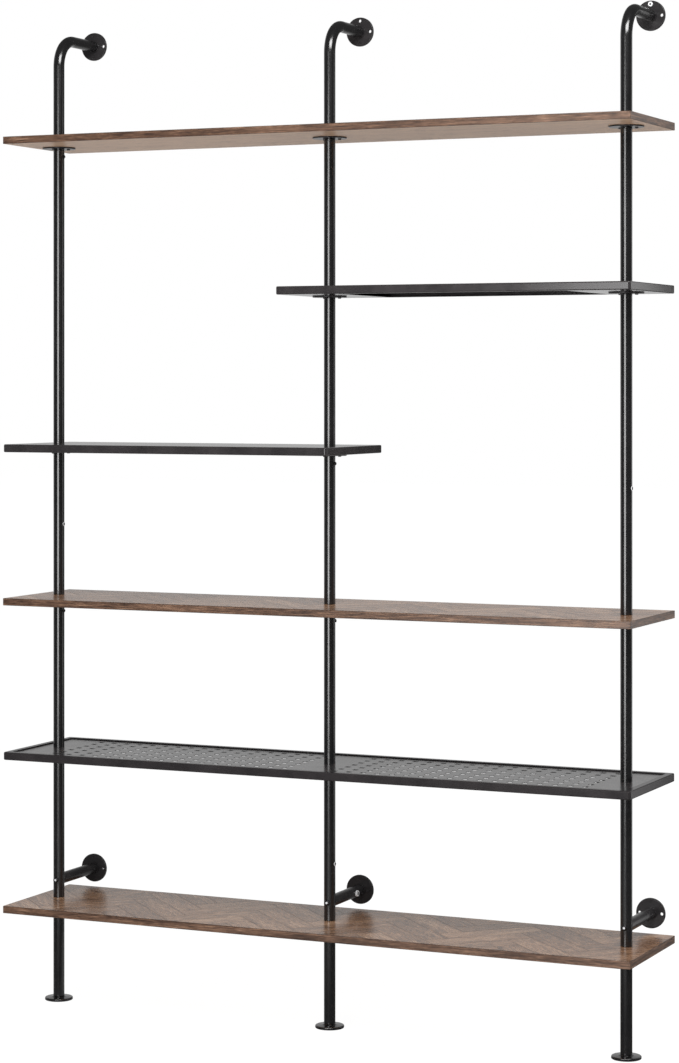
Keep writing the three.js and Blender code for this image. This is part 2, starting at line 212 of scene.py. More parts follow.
post_x = {post: centre_of(f"{post}_floor_disc").x for post in POSTS}
wall_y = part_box("middle_upper_wall_flange")[1].y
flange_face = wall_y - FLANGE_THICKNESS - HUB_HEIGHT
flange_low, flange_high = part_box("middle_upper_wall_flange")
flange_radius = (flange_high.z - flange_low.z) / 2
arm_z = centre_of("middle_lower_wall_flange").z
top_arm_z = centre_of("middle_upper_wall_flange").z


# Shader maths


class Value:
    """One socket of a finish, used in sums as a number is."""

    def __init__(self, finish, socket):
        self.finish = finish
        self.socket = socket

    def maths(self, operation, *others):
        return self.finish.maths(operation, self, *others)

    def __add__(self, other):
        return self.maths("ADD", other)

    def __radd__(self, other):
        return self.finish.maths("ADD", other, self)

    def __sub__(self, other):
        return self.maths("SUBTRACT", other)

    def __rsub__(self, other):
        return self.finish.maths("SUBTRACT", other, self)

    def __mul__(self, other):
        return self.maths("MULTIPLY", other)

    def __rmul__(self, other):
        return self.finish.maths("MULTIPLY", other, self)

    def __truediv__(self, other):
        return self.maths("DIVIDE", other)

    def __mod__(self, other):
        return self.maths("FLOORED_MODULO", other)

    def __pow__(self, other):
        return self.maths("POWER", other)

    def __lt__(self, other):
        return self.maths("LESS_THAN", other)

    def __abs__(self):
        return self.maths("ABSOLUTE")

    def floor(self):
        return self.maths("FLOOR")

    def smaller(self, other):
        return self.maths("MINIMUM", other)


class Finish:
    """A node tree that is written as expressions."""

    def __init__(self, tree):
        self.tree = tree
        tree.nodes.clear()

    def node(self, kind, settings=None, inputs=None):
        """A node with its settings, then the values or links of its sockets."""
        made = self.tree.nodes.new(kind)
        for name, setting in (settings or {}).items():
            if name == "stops":
                self.set_stops(made.color_ramp.elements, setting)
            else:
                setattr(made, name, setting)
        for name, value in (inputs or {}).items():
            socket = made.inputs[name]
            if isinstance(value, Value):
                self.tree.links.new(value.socket, socket)
            else:
                socket.default_value = value
        return made

    def out(self, kind, settings=None, inputs=None, output=0):
        return Value(self, self.node(kind, settings, inputs).outputs[output])

    def maths(self, operation, *values):
        inputs = dict(enumerate(values))
        return self.out("ShaderNodeMath", {"operation": operation}, inputs)

    @staticmethod
    def set_stops(elements, stops):
        while len(elements) < len(stops):
            elements.new(0)
        for element, (place, colour) in zip(elements, stops):
            element.position = place
            element.color = colour

    def point(self):
        """The shaded point in the frame of the object."""
        return self.out("ShaderNodeTexCoord", output="Object")

    def position(self):
        """X, Y and Z of the shaded point."""
        return self.split(self.point())

    def upright(self):
        """1 on faces that stand upright, such as the walls of a hole in a flat sheet."""
        rise = self.split(self.out("ShaderNodeNewGeometry", output="Normal"))[2]
        return abs(rise) < 0.5

    def split(self, vector):
        parts = self.node("ShaderNodeSeparateXYZ", inputs={0: vector})
        return [Value(self, socket) for socket in parts.outputs]

    def vector(self, x, y, z):
        return self.out("ShaderNodeCombineXYZ", inputs={0: x, 1: y, 2: z})

    def noise(self, vector, scale=1, detail=3, roughness=0.55):
        inputs = {"Vector": vector, "Scale": scale, "Detail": detail, "Roughness": roughness}
        return self.out("ShaderNodeTexNoise", inputs=inputs)

    def ramp(self, factor, stops):
        return self.out("ShaderNodeValToRGB", {"stops": stops}, {0: factor})

    def stretch(self, value, low, high, new_low=0, new_high=1):
        """The value's span from low to high, mapped to another span and held there."""
        inputs = {0: value, 1: low, 2: high, 3: new_low, 4: new_high}
        return self.out("ShaderNodeMapRange", {"clamp": True}, inputs)

    def mix(self, factor, first, second, blend="MIX"):
        """A mix of two colours; its sockets go by number, because their names repeat."""
        settings = {"data_type": "RGBA", "blend_type": blend}
        return self.out("ShaderNodeMix", settings, {0: factor, 6: first, 7: second}, output=2)

    def bump(self, height, depth, strength):
        inputs = {"Height": height, "Distance": depth, "Strength": strength}
        return self.out("ShaderNodeBump", inputs=inputs)


def colour(red, green, blue):
    """A display colour of 0 to 255 as the light that it stands for."""

    def light(level):
        share = level / 255
        return share / 12.92 if share <= 0.04045 else ((share + 0.055) / 1.055) ** 2.4

    return (light(red), light(green), light(blue), 1)


def material(name, make):
    made = bpy.data.materials.new(name)
    made.use_nodes = True
    finish = Finish(made.node_tree)
    shader = finish.node("ShaderNodeBsdfPrincipled", inputs=make(finish))
    finish.node("ShaderNodeOutputMaterial", inputs={0: Value(finish, shader.outputs[0])})
    return made


# Finishes

# Two shades of each metal, the base and the worn or bright one
TUBE_BLACK = (colour(14, 14, 15), colour(23, 22, 23))
FLANGE_BLACK = (colour(38, 37, 38), colour(47, 45, 46))
SHEET_BLACK = (colour(40, 38, 39), colour(52, 49, 50))
RIM_BLACK = (colour(38, 36, 37), colour(47, 44, 45))
MESH_BLACK = (colour(40, 38, 39), colour(50, 47, 48))
OXIDE_AND_SOCKET_SHADE_BLACK = (colour(38, 38, 40), colour(62, 62, 64))
PLATING_AND_GLINT_WHITE = (colour(222, 223, 225), colour(242, 242, 243))

# Powder coating: spans of noise that make its clouds and rubbed places, and its orange peel
CLOUD_SPAN = (0.3, 0.7)
RUB_SPAN = (0.58, 0.78)
RUB_SHOW = 0.35
SPECK_SHARE = 0.35
PEEL_DEPTH = 0.002 * MM
# Painted shade in the slots of the perforated sheet: their walls are painted near-black and made
# duller
SLOT_PAINTED_SHADE = colour(9, 9, 9)
SLOT_DULLNESS = 0.5

# Browns of the wood from its darkest to its lightest grain
WOOD_TONES = (
    (0.0, colour(50, 34, 25)),
    (0.28, colour(82, 58, 43)),
    (0.52, colour(114, 84, 63)),
    (0.78, colour(150, 115, 89)),
    (1.0, colour(184, 150, 121)),
)
BAND_TINT = colour(234, 236, 243)
SEAM_BROWNS = (colour(40, 29, 23), colour(66, 48, 38))

# Layers of the wood grain: cells in a metre along and across it, seed and fineness of the
# noise, and the share of the layer in the tone
Layer = namedtuple("Layer", "along across seed detail roughness share")
GROWTH_BANDS = Layer(along=5, across=40, seed=0, detail=4, roughness=0.6, share=0.7)
STREAKS = Layer(along=26, across=170, seed=7, detail=4, roughness=0.65, share=1.2)
FIBRES = Layer(along=70, across=520, seed=3, detail=3, roughness=0.6, share=0.6)
FLECKS = Layer(along=75, across=230, seed=11, detail=3, roughness=0.7, share=0.8)
PORES = Layer(along=40, across=300, seed=5, detail=2, roughness=0.55, share=0.25)
PORE_SPAN = (0.6, 0.72)
PORE_DEPTH = 0.6
BOARD_DEPTH = 0.1 * MM

# Parquet: spread and middle of the tones of its planks, and the dark seams between them
PLANK_SPREAD = 0.24
PLANK_TONE = 0.15
PARQUET_DEPTH = 0.12 * MM
PARQUET_SEAM = colour(50, 36, 28)
PARQUET_SEAM_SPAN = (0.4 * MM, 1.6 * MM)
PARQUET_SEAM_SHOW = 0.6
PARQUET_SEAM_DEPTH = 1.6


def powder_coat(shades, roughness, ior, unevenness, texture):
    """Satin powder coating: fine orange peel, faint cloudiness and a few rubbed places."""
    base, lighter = shades

    def make(finish):
        point = finish.point()
        cloud = finish.noise(point, scale=22, detail=4)
        rub = finish.stretch(finish.noise(point, scale=9, detail=6, roughness=0.7), *RUB_SPAN)
        peel = finish.noise(point, scale=950, detail=2)
        speck = finish.noise(point, scale=2600, detail=1)
        tint = finish.mix(finish.stretch(cloud, *CLOUD_SPAN), base, lighter)
        return {
            "Base Color": finish.mix(rub * RUB_SHOW, tint, lighter),
            "Roughness": roughness + (cloud - 0.5) * unevenness + rub * unevenness / 2,
            "IOR": ior,
            "Normal": finish.bump(peel + speck * SPECK_SHARE, PEEL_DEPTH, texture),
        }

    return make


def perforated_coat(finish):
    """The same coating on the perforated sheet, with painted shade: the walls of its slots are
    painted near-black, and they are duller.
    """
    coat = powder_coat(MESH_BLACK, roughness=0.24, ior=1.8, unevenness=0.08, texture=0.1)
    sockets = coat(finish)
    shaded_slot_wall = finish.upright()
    # Painted shade: the upright walls of the slots take the near-black colour
    sockets["Base Color"] = finish.mix(shaded_slot_wall, sockets["Base Color"], SLOT_PAINTED_SHADE)
    sockets["Roughness"] = sockets["Roughness"] + shaded_slot_wall * SLOT_DULLNESS
    return sockets


def fine_metal(shades, scale, metallic, roughness, unevenness):
    """Metal without a thick coating, with a fine grain."""

    def make(finish):
        grain = finish.noise(finish.point(), scale)
        return {
            "Base Color": finish.mix(grain, *shades),
            "Metallic": metallic,
            "Roughness": roughness + grain * unevenness,
        }

    return make


def wood_tone(finish, grain, tone):
    """Brown of one plank or band: its grain from 0 to 1, shifted by its own tone."""
    return finish.ramp(finish.stretch(grain + tone, 0, 1), WOOD_TONES)


def grain_layer(finish, along, across, seed, layer):
    point = finish.vector(along * layer.along, across * layer.across, seed + layer.seed)
    return finish.noise(point, detail=layer.detail, roughness=layer.roughness)


def long_grain(finish, along, across, seed):
    """Grain that runs along a plank: broad growth bands, streaks, fine fibres and dark pores.
    Gives the grain and the height of its fibres."""
    heights = {}
    grain = 0.5
    for layer in (GROWTH_BANDS, STREAKS, FIBRES, FLECKS):
        heights[layer] = grain_layer(finish, along, across, seed, layer)
        grain = grain + (heights[layer] - 0.5) * layer.share
    pore = finish.stretch(grain_layer(finish, along, across, seed, PORES), *PORE_SPAN)
    return grain - pore * PORES.share, heights[FIBRES] - pore * PORE_DEPTH


def herringbone(finish, x, y):
    """Planks laid at 45 degrees in a herringbone.
    Gives the place along and across each plank, its seed and how near its edge is."""
    u = (x + y) * math.sqrt(0.5) / PLANK_WIDTH + PLANK_SHIFT
    v = (y - x) * math.sqrt(0.5) / PLANK_WIDTH + PLANK_SHIFT
    i, j = u.floor(), v.floor()
    step = (i - j) % (2 * PLANK_CELLS)
    flat = step < PLANK_CELLS - 0.5
    flat_start = i - step
    rise_start = j - (2 * PLANK_CELLS - 1 - step)
    along = (u - flat_start) * flat + (v - rise_start) * (1 - flat)
    across = (v - j) * flat + (u - i) * (1 - flat)
    column = flat_start * flat + i * (1 - flat)
    row = j * flat + rise_start * (1 - flat)
    plank = finish.vector(column, row, flat)
    seed = finish.out("ShaderNodeTexWhiteNoise", inputs={"Vector": plank})
    side = (across.smaller(1 - across)).smaller(along.smaller(PLANK_CELLS - along))
    return along * PLANK_WIDTH, across * PLANK_WIDTH, seed, side * PLANK_WIDTH


def parquet(finish):
    """Herringbone laminate on the upper side of the boards."""
    x, y, z = finish.position()
    along, across, seed, side = herringbone(finish, x, y)
    grain, fibre = long_grain(finish, along, across, seed * 40 + z * 3)
    seam = finish.stretch(side, *PARQUET_SEAM_SPAN, 1, 0)
    plank = wood_tone(finish, grain, (seed - 0.5) * PLANK_SPREAD + PLANK_TONE)
    return {
        "Base Color": finish.mix(seam * PARQUET_SEAM_SHOW, plank, PARQUET_SEAM),
        "Roughness": 0.22 + fibre * 0.1 + seam * 0.1,
        "IOR": 1.52,
        "Normal": finish.bump(fibre - seam * PARQUET_SEAM_DEPTH, PARQUET_DEPTH, 0.5),
    }


def plain_board(finish):
    """Straight-grained laminate on the underside of the boards, with painted light: its brown is
    raised well above the top's to stand in for the light that comes up from the floor.
    """
    x, y, z = finish.position()
    grain, fibre = long_grain(finish, x, y, z * 5)
    return {
        # Painted light: the tone shift of 0.5 lightens the underside as if it were lit from below
        "Base Color": wood_tone(finish, grain, 0.5),
        "Roughness": 0.36 + fibre * 0.1,
        "IOR": 1.6,
        "Normal": finish.bump(fibre, BOARD_DEPTH, 0.4),
    }


def edge_band(finish):
    """Edge banding: slightly darker, with its grain along the edge."""
    x, y, z = finish.position()
    grain, fibre = long_grain(finish, (x + y) * 0.7, z * 2.2, x * 0.2 + y * 0.5)
    blotch = finish.noise(finish.vector(x * 9, y * 9, z * 60), detail=4)
    streak = finish.noise(finish.vector((x + y) * 14, z * 260, 3), roughness=0.6)
    tone = (blotch - 0.5) * 0.5 + (streak - 0.5) * 0.9 - 0.13
    band = finish.mix(1, wood_tone(finish, grain, tone), BAND_TINT, "MULTIPLY")
    return {
        "Base Color": band,
        "Roughness": 0.32 + fibre * 0.1,
        "Normal": finish.bump(fibre, BOARD_DEPTH, 0.4),
    }


def board_seam(finish):
    """Dark line where the banding meets the face of a board."""
    grain = finish.noise(finish.point(), scale=60)
    return {"Base Color": finish.mix(grain, *SEAM_BROWNS), "Roughness": 0.5}


COAT = material("black_coat", powder_coat(
    TUBE_BLACK, roughness=0.205, ior=1.8, unevenness=0.02, texture=0.03))
FLANGE_COAT = material("black_flange_coat", powder_coat(
    FLANGE_BLACK, roughness=0.22, ior=1.32, unevenness=0.02, texture=0.03))
PLATE_COAT = material("black_plate_coat", powder_coat(
    FLANGE_BLACK, roughness=0.28, ior=1.26, unevenness=0.04, texture=0.1))
SHEET_COAT = material("black_sheet_coat", powder_coat(
    SHEET_BLACK, roughness=0.16, ior=1.48, unevenness=0.08, texture=0.1))
RIM_COAT = material("black_rim_coat", powder_coat(
    RIM_BLACK, roughness=0.22, ior=1.19, unevenness=0.08, texture=0.1))
MESH_COAT = material("black_mesh_coat", perforated_coat)
# Black oxide of the bolts, also painted dark into screw sockets and insert bores as painted shade
OXIDE_AND_SOCKET_SHADE = material("black_oxide_and_painted_socket_shade", fine_metal(
    OXIDE_AND_SOCKET_SHADE_BLACK, scale=800, metallic=0.8, roughness=0.16, unevenness=0.1))
# Near-white plating, also painted into the bolt sockets as a painted highlight
PLATING_AND_GLINT = material("zinc_plating_and_painted_glint", fine_metal(
    PLATING_AND_GLINT_WHITE, scale=600, metallic=0.05, roughness=0.2, unevenness=0.15))
PARQUET = material("herringbone_top", parquet)
UNDERSIDE = material("board_underside", plain_board)
BAND = material("edge_banding", edge_band)
SEAM = material("board_seam", board_seam)


# Meshes


def from_parts(name, vertices, faces):
    mesh = bpy.data.meshes.new(name)
    mesh.from_pydata([tuple(v) for v in vertices], [], faces)
    shape = bmesh.new()
    shape.from_mesh(mesh)
    bmesh.ops.recalc_face_normals(shape, faces=shape.faces)
    shape.to_mesh(mesh)
    shape.free()
    made = bpy.data.objects.new(name, mesh)
    bpy.context.scene.collection.objects.link(made)
    return made


def from_rings(name, rings, closed=False, capped=False):
    """A skin from each ring of points to the next; a ring of one point is a tip."""
    vertices, places = [], []
    for ring in rings:
        places.append(range(len(vertices), len(vertices) + len(ring)))
        vertices += ring
    faces = [tuple(places[0]), tuple(places[-1])] if capped else []
    pairs = list(zip(places, places[1:]))
    if closed:
        pairs.append((places[-1], places[0]))
    for low, high in pairs:
        for k in range(max(len(low), len(high))):
            corners = [low[k % len(low)], low[(k + 1) % len(low)]]
            corners += [high[(k + 1) % len(high)], high[k % len(high)]]
            faces.append(tuple(dict.fromkeys(corners)))
    return from_parts(name, vertices, faces)


def turns(sides):
    """The angles of the corners of a ring."""
    return [2 * math.pi * k / sides for k in range(sides)]


def circle_radius(radius, angle):
    return radius


def hexagon_radius(radius, angle):
    """Distance to the side of a hexagon whose corners are at the radius."""
    sixth = math.pi / 3
    return radius * math.cos(sixth / 2) / math.cos(angle % sixth - sixth / 2)


def cross_radius(radius, angle):
    """Distance to the edge of a cross recess."""
    quarter = math.pi / 2
    turn = abs((angle + quarter / 2) % quarter - quarter / 2)
    return min(radius, CROSS_WIDTH / max(math.sin(turn), 1e-6))


def turned(name, profile, sides, closed=False):
    """A piece turned about Z. The profile is a list of (radius, z) or (radius, z, shape);
    a radius of 0 is a point on the axis. A closed profile is a ring that misses the axis."""
    rings = []
    for radius, z, *shape in profile:
        if radius == 0:
            rings.append([Vector((0, 0, z))])
            continue
        reach = shape[0] if shape else circle_radius
        ring = []
        for angle in turns(sides):
            r = reach(radius, angle)
            ring.append(Vector((r * math.cos(angle), r * math.sin(angle), z)))
        rings.append(ring)
    return from_rings(name, rings, closed)


def arc(centre, radius, start, end):
    """Points of a round stretch of a profile, from one angle to another in degrees."""
    points = []
    for k in range(ARC_STEPS + 1):
        angle = math.radians(start + (end - start) * k / ARC_STEPS)
        x = centre[0] + radius * math.cos(angle)
        points.append((x, centre[1] + radius * math.sin(angle)))
    return points


def swept_tube(name, path, outer, inner):
    """A tube along a path in the YZ plane, given as (y, z, angle of its run from the vertical)."""
    rings = []
    for radius, stations in ((outer, path), (inner, path[::-1])):
        for y, z, angle in stations:
            ring = []
            for turn in turns(TUBE_SIDES):
                side, rise = radius * math.cos(turn), radius * math.sin(turn)
                point = (side, y + rise * math.cos(angle), z - rise * math.sin(angle))
                ring.append(Vector(point))
            rings.append(ring)
    return from_rings(name, rings, closed=True)


def rounded_rectangle(x0, y0, x1, y1, radius):
    corners = (
        (x1 - radius, y0 + radius, -90),
        (x1 - radius, y1 - radius, 0),
        (x0 + radius, y1 - radius, 90),
        (x0 + radius, y0 + radius, 180),
    )
    return [p for x, y, start in corners for p in arc((x, y), radius, start, start + 90)]


def slab(name, low, high, corner, edge, steps=1):
    """A flat block with rounded corners, and edges rounded in a number of steps."""
    levels = []
    for k in range(steps + 1):
        angle = math.pi / 2 * k / steps
        levels.append((edge * (1 - math.sin(angle)), low.z + edge * (1 - math.cos(angle))))
    levels += [(inset, low.z + high.z - z) for inset, z in reversed(levels)]
    rings = []
    for inset, z in levels:
        radius = max(corner - inset, corner * CORNER_LEFT)
        x0, y0, x1, y1 = low.x + inset, low.y + inset, high.x - inset, high.y - inset
        rings.append([Vector((x, y, z)) for x, y in rounded_rectangle(x0, y0, x1, y1, radius)])
    return from_rings(name, rings, capped=True)


def rod(radius, low, high):
    """A plain round bar along Z, used as a cutter."""
    profile = [(0, low), (radius, low), (radius, high), (0, high)]
    return turned("cutter", profile, HOLE_SIDES)


def moved(piece, matrix):
    piece.data.transform(matrix)
    return piece


def shifted(piece, x, y, z):
    return moved(piece, Matrix.Translation((x, y, z)))


def towards_room(piece):
    """Turns a piece built along +Z so that it runs along -Y."""
    return moved(piece, Matrix.Rotation(math.pi / 2, 4, "X"))


def towards_right(piece):
    """Turns a piece built along +Z so that it runs along +X."""
    return moved(piece, Matrix.Rotation(math.pi / 2, 4, "Y"))


def joined(first, *others):
    shape = bmesh.new()
    for piece in (first, *others):
        shape.from_mesh(piece.data)
    shape.to_mesh(first.data)
    shape.free()
    for piece in others:
        bpy.data.objects.remove(piece)
    return first


def carved(piece, *cutters):
    cutter = joined(*cutters)
    change = piece.modifiers.new("carve", "BOOLEAN")
    change.operation = "DIFFERENCE"
    change.solver = "EXACT"
    change.object = cutter
    graph = bpy.context.evaluated_depsgraph_get()
    mesh = bpy.data.meshes.new_from_object(piece.evaluated_get(graph))
    piece.modifiers.clear()
    piece.data = mesh
    bpy.data.objects.remove(cutter)
    return piece


def near_axis(reach, above=-math.inf):
    """Picks the faces of a turned piece that are near its axis, such as a socket's."""

    def pick(face):
        return math.hypot(face.center.x, face.center.y) < reach and face.center.z > above

    return pick


def painted(piece, finishes, pick):
    """Gives each face the finish whose number the function picks for it."""
    piece.data.materials.clear()
    for finish in finishes:
        piece.data.materials.append(finish)
    for face in piece.data.polygons:
        face.material_index = int(pick(face))
    return piece


def finished(piece, slot, *nodes, finish=None):
    """Gives a piece its smooth shading, finish and the nodes that it stands for. The slot is not
    used.
    """
    piece.data.polygons.foreach_set("use_smooth", [True] * len(piece.data.polygons))
    piece.data.set_sharp_from_angle(angle=SMOOTH_ANGLE)
    flat = piece.modifiers.new("flat_faces", "WEIGHTED_NORMAL")
    flat.keep_sharp = True
    flat.weight = 100
    if finish:
        piece.data.materials.clear()
        piece.data.materials.append(finish)
    if nodes:
        piece.name = f"{nodes[0]}_finished"
        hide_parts(*nodes)
    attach(piece, "root")
    return piece


# Posts


def straight_tube(low, high):
    inner = TUBE_RADIUS - TUBE_WALL
    profile = [
        (inner, low),
        (TUBE_RADIUS - TUBE_EDGE, low),
        (TUBE_RADIUS, low + TUBE_EDGE),
        (TUBE_RADIUS, high - TUBE_EDGE),
        (TUBE_RADIUS - TUBE_EDGE, high),
        (inner, high),
    ]
    return turned("tube", profile, TUBE_SIDES, closed=True)


def sleeve(low, high):
    inner = SLEEVE_RADIUS - SLEEVE_WALL
    profile = [(inner, low), (SLEEVE_RADIUS, low), (SLEEVE_RADIUS, high), (inner, high)]
    return turned("sleeve", profile, TUBE_SIDES, closed=True)


def grub_screw(turn):
    """Grub screw in the side of a tube at a turn from +X, its socket facing out."""
    top = TUBE_RADIUS + GRUB_HEIGHT
    profile = [
        (0, TUBE_RADIUS - TUBE_WALL),
        (GRUB_RADIUS, TUBE_RADIUS - TUBE_WALL),
        (GRUB_RADIUS, top - TUBE_EDGE),
        (GRUB_RADIUS - TUBE_EDGE, top),
        (GRUB_SOCKET, top, hexagon_radius),
        (GRUB_SOCKET, top - GRUB_HEIGHT / 2, hexagon_radius),
        (0, top - GRUB_HEIGHT / 2),
    ]
    screw = towards_right(turned("grub", profile, SCREW_SIDES))
    return moved(screw, Matrix.Rotation(turn, 4, "Z"))


def side_hole(y, z):
    """Cutter for a side hole that faces +X."""
    return shifted(towards_right(rod(SIDE_HOLE_RADIUS, 0, TUBE_RADIUS + OVERRUN)), 0, y, z)


def side_insert(name, radius, height):
    """A plated threaded insert in a side hole that faces +X, its head standing proud. Its
    near-white head is partly plating and partly a painted highlight, and its bore is painted dark
    as painted shade.
    """
    profile = [
        (INSERT_BORE, -TUBE_WALL),
        (SIDE_HOLE_RADIUS - TUBE_EDGE, -TUBE_WALL),
        (SIDE_HOLE_RADIUS - TUBE_EDGE, 0),
        (radius, 0),
        (radius, height * INSERT_SHOULDER),
        (radius - TUBE_EDGE, height),
        (INSERT_BORE + TUBE_EDGE, height),
        (INSERT_BORE, height * INSERT_SHOULDER),
    ]
    insert = turned(name, profile, SCREW_SIDES, closed=True)
    # Painted highlight on the near-white head and painted shade in the dark bore
    painted(insert, (PLATING_AND_GLINT, OXIDE_AND_SOCKET_SHADE), near_axis(INSERT_BORE + TUBE_EDGE / 2))
    return shifted(towards_right(insert), TUBE_RADIUS, 0, 0)


def tube_seat(shelf):
    """Height at which the tube above a shelf stands."""
    low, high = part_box(shelf["name"])
    return (high.z if shelf["kind"] == "board" else low.z + SHEET) + SEAT_GAP


def add_post(post):
    x = post_x[post]
    hole_level, hole_rise = SIDE_HOLES[post]
    below = None
    for shelf in SHELVES:
        if post not in shelf["posts"]:
            continue
        node = f"{post}_tube_above_" + (f"shelf_{below['level']}" if below else "floor")
        low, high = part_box(node)
        start = tube_seat(below) if below else low.z
        tube = straight_tube(start, high.z)
        if below and below["level"] == hole_level:
            hole_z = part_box(below["name"])[1].z + hole_rise
            tube = carved(tube, side_hole(0, hole_z))
            insert = side_insert(f"{post}_spare_insert", *POST_INSERT)
            finished(shifted(insert, x, 0, hole_z), None)
        turn = GRUB_TURNS[post].get(shelf["level"], WALL_TURN)
        pieces = [shifted(grub_screw(turn), 0, 0, high.z - GRUB_DROP)]
        if below:
            pieces.append(sleeve(low.z, start + SLEEVE_GRIP))
        tube = shifted(joined(tube, *pieces), x, 0, 0)
        finished(tube, "post_coating", node, finish=COAT)
        below = shelf
    add_top_bend(post, below)


def add_top_bend(post, below):
    """The tube above the top shelf, which bends back to its wall flange."""
    node = f"{post}_top_bend"
    start = tube_seat(below)
    straight = top_arm_z - BEND_RADIUS
    path = [(0, start, 0), (0, straight, 0)]
    for k in range(1, BEND_STEPS + 1):
        angle = math.pi / 2 * k / BEND_STEPS
        y = BEND_RADIUS * (1 - math.cos(angle))
        path.append((y, straight + BEND_RADIUS * math.sin(angle), angle))
    path.append((flange_face - SEAT_GAP, top_arm_z, math.pi / 2))
    bend = swept_tube("bend", path, TUBE_RADIUS, TUBE_RADIUS - TUBE_WALL)
    spigot = sleeve(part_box(node)[0].z, start + SLEEVE_GRIP)
    finished(shifted(joined(bend, spigot), post_x[post], 0, 0), "post_coating", node, finish=COAT)


def add_floor_disc(post):
    node = f"{post}_floor_disc"
    rim = DISC_RADIUS - DISC_ROUND
    top = DISC_THICKNESS + COLLAR_HEIGHT
    profile = [(0, 0), (DISC_RADIUS - DISC_FOOT_EDGE, 0), (DISC_RADIUS, DISC_FOOT_EDGE)]
    profile += arc((rim, DISC_THICKNESS - DISC_ROUND), DISC_ROUND, 0, 90)
    profile += [
        (COLLAR_RADIUS + COLLAR_HEIGHT, DISC_THICKNESS + DISC_RISE),
        (COLLAR_RADIUS, DISC_THICKNESS + COLLAR_FOOT),
        (TUBE_RADIUS + TUBE_EDGE, top),
        (SLEEVE_RADIUS, top),
        (SLEEVE_RADIUS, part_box(node)[1].z),
        (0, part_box(node)[1].z),
    ]
    disc = turned("disc", profile, DISC_SIDES)
    finished(shifted(disc, post_x[post], 0, 0), "post_coating", node, finish=COAT)


# Wall anchors


def flange_profile(length):
    """Half section of a wall flange: wall side at 0, the hub and plug towards the room."""
    rim = flange_radius - FLANGE_ROUND
    top = FLANGE_THICKNESS + HUB_HEIGHT
    profile = [(0, 0), (flange_radius, 0)]
    profile += arc((rim, FLANGE_THICKNESS - FLANGE_ROUND), FLANGE_ROUND, 0, 90)
    profile += [
        (HUB_RADIUS, FLANGE_THICKNESS),
        (HUB_RADIUS, top - TUBE_EDGE),
        (HUB_RADIUS - TUBE_EDGE, top),
        (SLEEVE_RADIUS, top),
        (SLEEVE_RADIUS, length),
        (0, length),
    ]
    return profile


def flange_hole():
    """Cutter for one countersunk hole of a flange."""
    profile = [
        (0, -OVERRUN),
        (FLANGE_HOLE_RADIUS, -OVERRUN),
        (FLANGE_HOLE_RADIUS, FLANGE_THICKNESS - COUNTERSINK),
        (FLANGE_HOLE_RADIUS + COUNTERSINK, FLANGE_THICKNESS),
        (FLANGE_HOLE_RADIUS + COUNTERSINK, FLANGE_THICKNESS + OVERRUN),
        (0, FLANGE_THICKNESS + OVERRUN),
    ]
    return turned("cutter", profile, HOLE_SIDES)


def wall_screw(lighter):
    """A countersunk screw that sits in a flange hole, its head level with the flange.
    The recess of the one given as lighter is painted near-white with the plating finish."""
    shank = FLANGE_HOLE_RADIUS - SCREW_FIT
    head = FLANGE_THICKNESS - SCREW_FIT
    profile = [
        (0, 0),
        (shank, 0),
        (shank, FLANGE_THICKNESS - COUNTERSINK),
        (shank + COUNTERSINK, head),
        (SCREW_CROSS, head, cross_radius),
        (SCREW_CROSS * CROSS_TAPER, head - COUNTERSINK, cross_radius),
        (0, head - COUNTERSINK),
    ]
    screw = turned("wall_screw", profile, SCREW_SIDES)
    bright_faces = near_axis(SCREW_CROSS if lighter else 0, above=COUNTERSINK)
    return painted(screw, (FLANGE_COAT, PLATING_AND_GLINT), bright_faces)


def plated_screw(name):
    """A round-headed plated wall screw that stands proud of the flange; its socket is painted dark,
    a painted shade.
    """
    shank = FLANGE_HOLE_RADIUS - SCREW_FIT
    seat = FLANGE_THICKNESS
    profile = [
        (0, 0),
        (shank, 0),
        (shank, seat),
        (PLATED_HEAD_RADIUS, seat),
        (PLATED_HEAD_RADIUS, seat + PLATED_HEAD_HEIGHT / 2),
        (PLATED_HEAD_RADIUS - PLATED_HEAD_HEIGHT / 2, seat + PLATED_HEAD_HEIGHT),
        (PLATED_SOCKET, seat + PLATED_HEAD_HEIGHT, hexagon_radius),
        (PLATED_SOCKET, seat - PLATED_HEAD_HEIGHT, hexagon_radius),
        (0, seat - PLATED_HEAD_HEIGHT),
    ]
    return painted(turned(name, profile, SCREW_SIDES), (PLATING_AND_GLINT, OXIDE_AND_SOCKET_SHADE), near_axis(PLATED_SOCKET))


def add_flange(post, level):
    node = f"{post}_{level}_wall_flange"
    low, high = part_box(node)
    height = top_arm_z if level == "upper" else arm_z
    flange = turned("flange", flange_profile(high.y - low.y), DISC_SIDES)
    cutters, screws = [], []
    for side, angle in zip(HOLE_PLACES, turns(len(HOLE_PLACES))):
        x, y = FLANGE_HOLE_CIRCLE * math.cos(angle), FLANGE_HOLE_CIRCLE * math.sin(angle)
        cutters.append(shifted(flange_hole(), x, y, 0))
        if (node, side) == PLATED_SCREW:
            screw = shifted(plated_screw(f"{post}_{level}_wall_screw"), x, y, 0)
            finished(shifted(towards_room(screw), post_x[post], wall_y, height), None)
        elif side not in OPEN_HOLES[node]:
            screws.append(shifted(wall_screw((node, side) == BRIGHT_RECESS_SCREW), x, y, 0))
    flange = painted(carved(flange, *cutters), (FLANGE_COAT, PLATING_AND_GLINT), lambda face: 0)
    flange = towards_room(joined(flange, *screws))
    finished(shifted(flange, post_x[post], wall_y, height), "post_coating", node)


